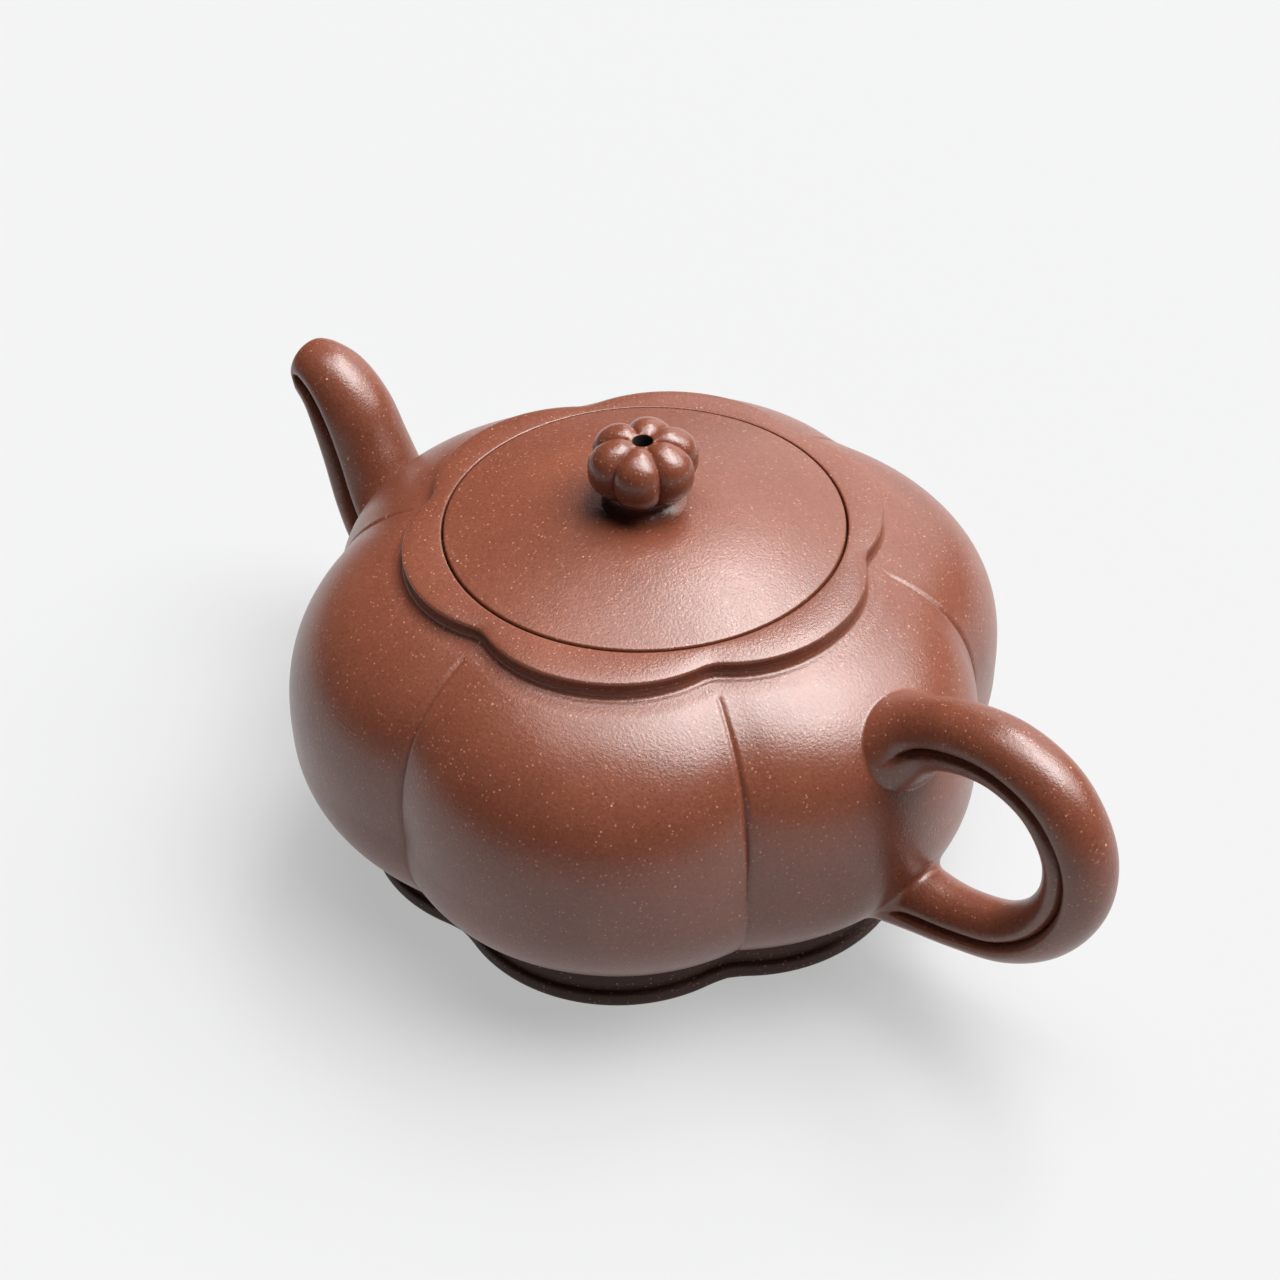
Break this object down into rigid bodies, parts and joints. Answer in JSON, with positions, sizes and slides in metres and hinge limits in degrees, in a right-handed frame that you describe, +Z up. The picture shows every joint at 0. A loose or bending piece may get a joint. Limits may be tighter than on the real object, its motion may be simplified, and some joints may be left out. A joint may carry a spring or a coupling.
{
  "type": "yixing clay teapot",
  "caption": "Squat lobed clay teapot with a raised collar, an inlaid round lid with a melon knob, a curved strainer spout and an ear handle; it brews and pours tea.",
  "frame": {"origin": "centre of the foot, on the surface the pot stands on", "axes": "+Z up, +X towards the spout, -X towards the handle, +Y to the left of someone who looks from the handle along the spout"},
  "size_m": [0.1607, 0.1026, 0.0694],
  "materials": {
    "clay": "unglazed red-brown purple clay with pale sand grains, burnished to a satin sheen",
    "clay_bare": "the same clay left matt where it isn't burnished",
    "clay_foot": "the same clay, a little darker at the foot",
    "clay_polished": "the same clay polished brighter, as by handling"
  },
  "bodies": {
    "pot": {"body_shell": "clay", "base_plate": "clay_bare", "foot_ring": "clay_foot", "collar": "clay", "mouth_ring": "clay_bare", "spout": "clay", "spout_strainer": "clay_bare", "handle": "clay"},
    "lid": {"lid_plate": "clay", "lid_flange": "clay_bare", "knob_neck": "clay", "knob": "clay_polished"}
  },
  "joints": [
    {"name": "lid_lift", "type": "slide", "parent": "pot", "child": "lid", "axis": [0, 0, 1], "range_m": [0, 0.06]}
  ]
}
